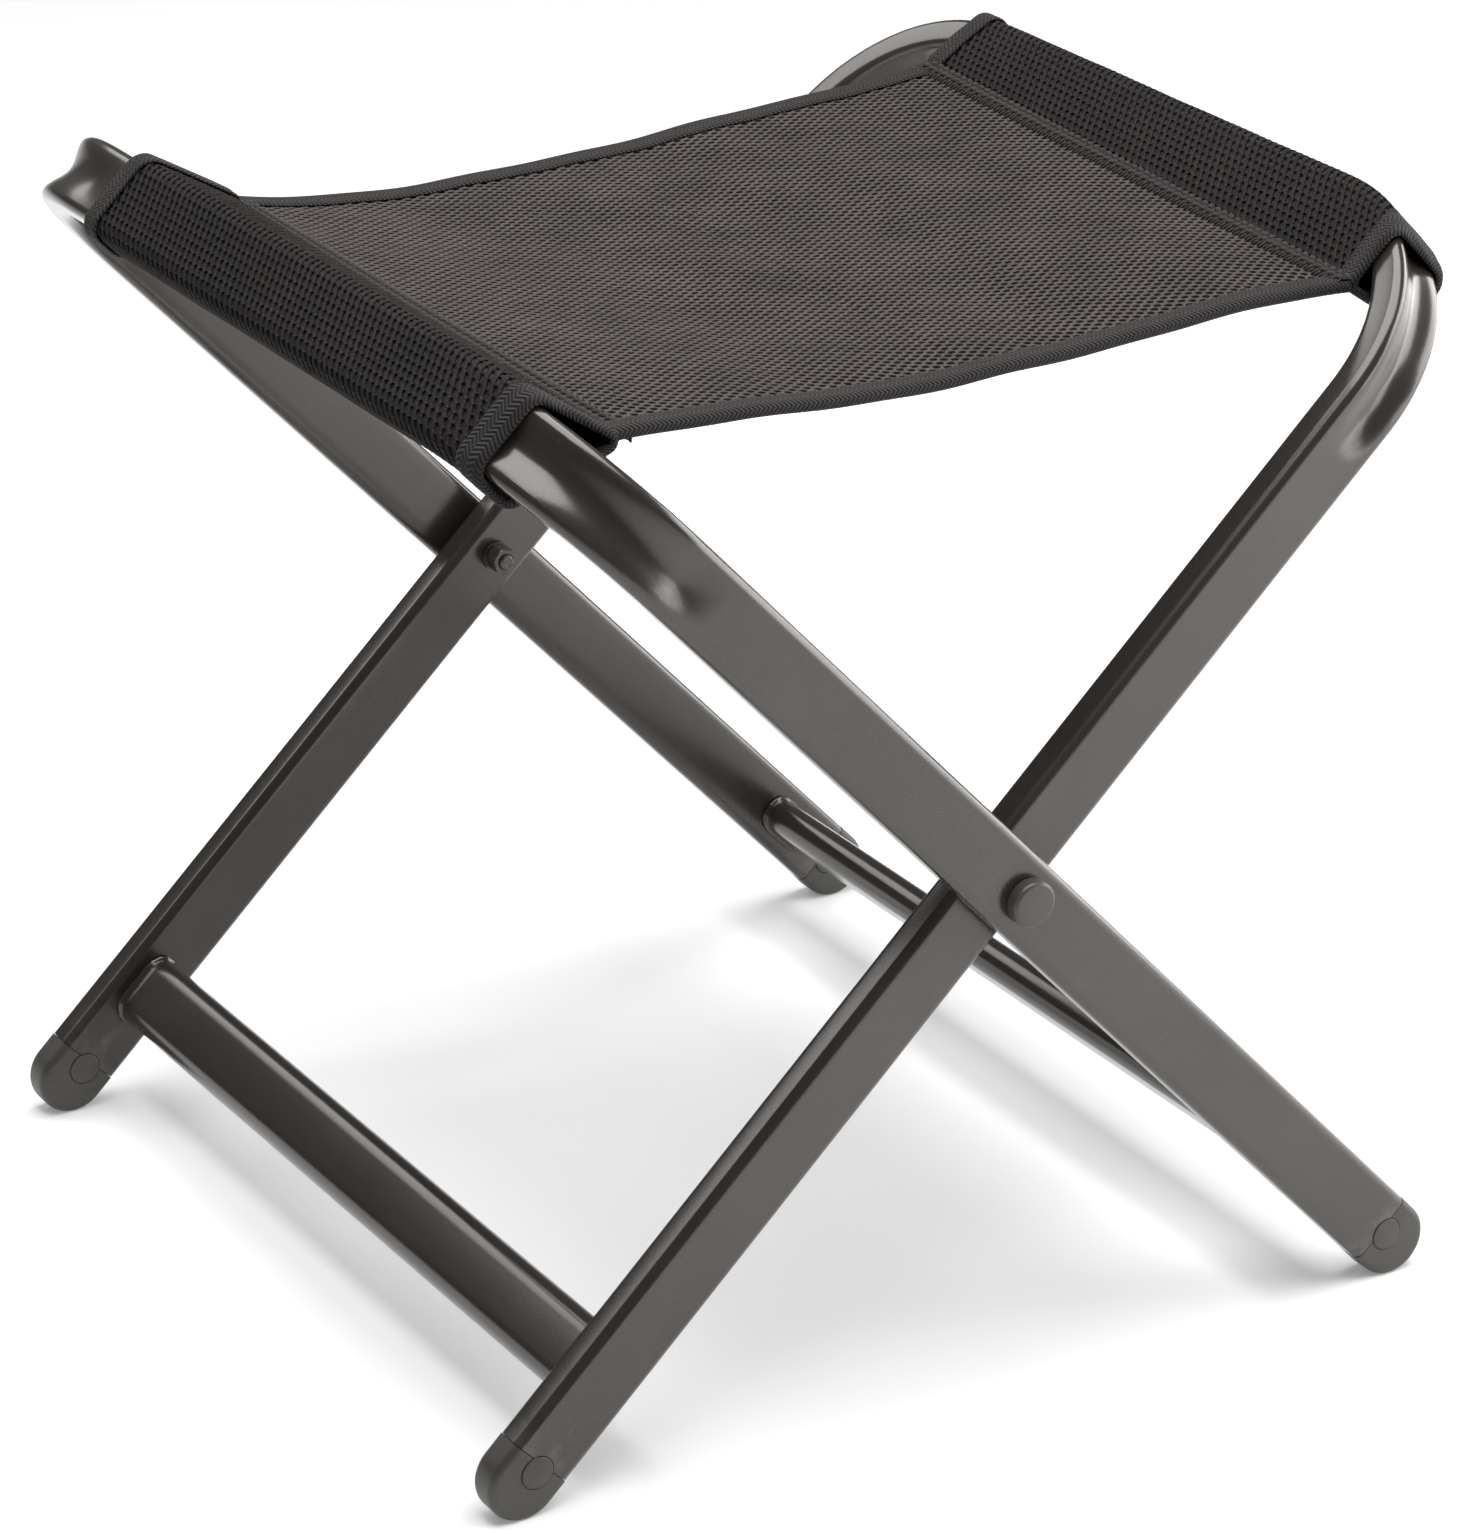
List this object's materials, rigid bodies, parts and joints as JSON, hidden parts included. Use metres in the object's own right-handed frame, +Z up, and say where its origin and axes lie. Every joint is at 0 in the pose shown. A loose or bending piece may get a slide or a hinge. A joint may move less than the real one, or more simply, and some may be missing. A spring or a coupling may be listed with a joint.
{
  "type": "folding camp stool",
  "caption": "Folding camp stool: two U-shaped flat-tube frames crossed on side pivots, with a slung mesh fabric seat sewn round their rails.",
  "frame": {"origin": "on the floor, under the middle of the stool's bounding box", "axes": "+Z up; Y along the seat rails and the pivot line; +X towards the inner frame's rail"},
  "size_m": [0.437, 0.4242, 0.4278],
  "materials": {
    "frame_coating": "satin dark bronze powder coat",
    "foot_plastic": "moulded, fine texture",
    "cover_plastic": "semi-gloss",
    "dark_zinc": "dark zinc plate",
    "nylon": "plain nylon",
    "seat_mesh": "open spacer mesh",
    "sleeve_knit": "ribbed knit",
    "binding_tape": "twill tape"
  },
  "bodies": {
    "outer_frame": {"outer_frame_tube": "frame_coating", "outer_cross_tube": "frame_coating", "outer_foot_cap_near": "foot_plastic", "outer_foot_cap_far": "foot_plastic", "pivot_bolt_near": "dark_zinc", "pivot_bolt_far": "dark_zinc", "pivot_cover_near": "cover_plastic", "pivot_cover_far": "cover_plastic", "pivot_nut_near": "dark_zinc", "pivot_nut_far": "dark_zinc", "spacer_washer_near": "nylon", "spacer_washer_far": "nylon", "nut_washer_near": "dark_zinc", "nut_washer_far": "dark_zinc", "seat_sleeve_left": "sleeve_knit", "sleeve_binding_left_near": "binding_tape", "sleeve_binding_left_far": "binding_tape", "seam_strip_left": "binding_tape"},
    "inner_frame": {"inner_frame_tube": "frame_coating", "inner_cross_tube": "frame_coating", "inner_foot_cap_near": "foot_plastic", "inner_foot_cap_far": "foot_plastic", "pivot_bush_near": "nylon", "pivot_bush_far": "nylon", "seat_sleeve_right": "sleeve_knit", "sleeve_binding_right_near": "binding_tape", "sleeve_binding_right_far": "binding_tape", "seam_strip_right": "binding_tape"},
    "seat_left": {"seat_panel_left": "seat_mesh", "panel_binding_left_near": "binding_tape", "panel_binding_left_far": "binding_tape"},
    "seat_right": {"seat_panel_right": "seat_mesh", "panel_binding_right_near": "binding_tape", "panel_binding_right_far": "binding_tape"}
  },
  "joints": [
    {"name": "frame_fold", "type": "hinge", "parent": "outer_frame", "child": "inner_frame", "pos_m": [-0.0048, 0, 0.20633], "axis": [0, -1, 0], "range_deg": [0, 76]},
    {"name": "seat_left_fold", "type": "hinge", "parent": "outer_frame", "child": "seat_left", "pos_m": [-0.15075, 0, 0.40098], "axis": [0, -1, 0], "range_deg": [-50.5, 0], "deforming": ["seat_panel_left", "panel_binding_left_near", "panel_binding_left_far"]},
    {"name": "seat_right_fold", "type": "hinge", "parent": "inner_frame", "child": "seat_right", "pos_m": [0.16135, 0, 0.39898], "axis": [0, -1, 0], "range_deg": [0, 45], "deforming": ["seat_panel_right", "panel_binding_right_near", "panel_binding_right_far"]}
  ],
  "couplings": [
    {"joint": "seat_left_fold", "follows": "frame_fold", "ratio": -0.6627},
    {"joint": "seat_right_fold", "follows": "frame_fold", "ratio": 0.5809}
  ]
}
